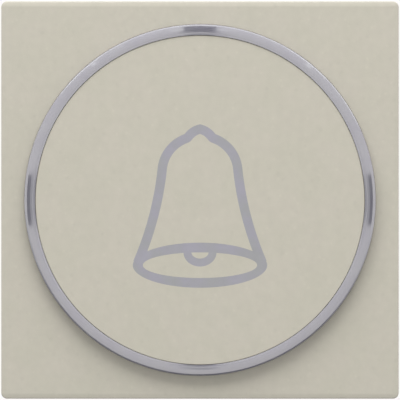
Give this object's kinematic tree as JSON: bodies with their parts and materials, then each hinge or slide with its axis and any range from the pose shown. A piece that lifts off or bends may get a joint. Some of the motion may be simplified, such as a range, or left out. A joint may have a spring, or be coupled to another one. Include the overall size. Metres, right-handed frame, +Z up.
{
  "type": "doorbell push button",
  "caption": "Flush square doorbell push with a clear light ring, a large round push cap with a bell pictogram, and push-in wire clamps in the housing behind.",
  "frame": {"origin": "centre of the plate's back rim, in the plane that seats on the support frame", "axes": "+Y into the wall, -Y out of the plate's face, +Z up the wall, +X to the right seen from the front"},
  "size_m": [0.045, 0.0324, 0.045],
  "materials": {
    "champagne_plastic": "satin",
    "ring_plastic": "clear gloss",
    "symbol_plastic": "translucent satin",
    "carrier_plastic": "moulded satin",
    "housing_plastic": "moulded satin",
    "plunger_plastic": "moulded satin",
    "release_plastic": "moulded satin",
    "pad_rubber": "matt",
    "spring_steel": "bright",
    "screw_steel": "zinc plated",
    "copper_alloy": "bare strip",
    "contact_silver": "bright",
    "tinned_lead": "tinned",
    "board_laminate": "lacquered",
    "lamp_resin": "clear",
    "resistor_body": "matt",
    "diode_body": "clear"
  },
  "bodies": {
    "module": {"face_plate": "champagne_plastic", "light_ring": "ring_plastic", "carrier": "carrier_plastic", "stop_pad": "pad_rubber", "return_spring": "spring_steel", "fixed_tips": "contact_silver", "busbar_right": "copper_alloy", "busbar_left": "copper_alloy", "clamp_right": "spring_steel", "clamp_left": "spring_steel", "rear_housing": "housing_plastic", "housing_screws": "screw_steel", "led_board": "board_laminate", "lamps": "lamp_resin", "resistor": "resistor_body", "diode": "diode_body", "board_leads": "tinned_lead"},
    "button": {"button_cap": "champagne_plastic", "bell_symbol": "symbol_plastic", "plunger": "plunger_plastic", "contact_spring": "spring_steel"},
    "bridge": {"bridge_bar": "copper_alloy", "bridge_tips": "contact_silver"},
    "right_release": {"release_right": "release_plastic"},
    "left_release": {"release_left": "release_plastic"}
  },
  "joints": [
    {"name": "button_press", "type": "slide", "parent": "module", "child": "button", "axis": [0, 1, 0], "range_m": [0, 0.002], "stiffness_N_per_m": 900, "deforming": ["return_spring"]},
    {"name": "bridge_lag", "type": "slide", "parent": "button", "child": "bridge", "axis": [0, -1, 0], "range_m": [0, 0.0008], "stiffness_N_per_m": 200, "deforming": ["contact_spring"]},
    {"name": "release_right_push", "type": "slide", "parent": "module", "child": "right_release", "axis": [0, -1, 0], "range_m": [0, 0.0015], "stiffness_N_per_m": 800, "deforming": ["clamp_right"]},
    {"name": "release_left_push", "type": "slide", "parent": "module", "child": "left_release", "axis": [0, -1, 0], "range_m": [0, 0.0015], "stiffness_N_per_m": 800, "deforming": ["clamp_left"]}
  ],
  "couplings": [
    {"joint": "bridge_lag", "follows": "button_press", "ratio": 0.4}
  ]
}
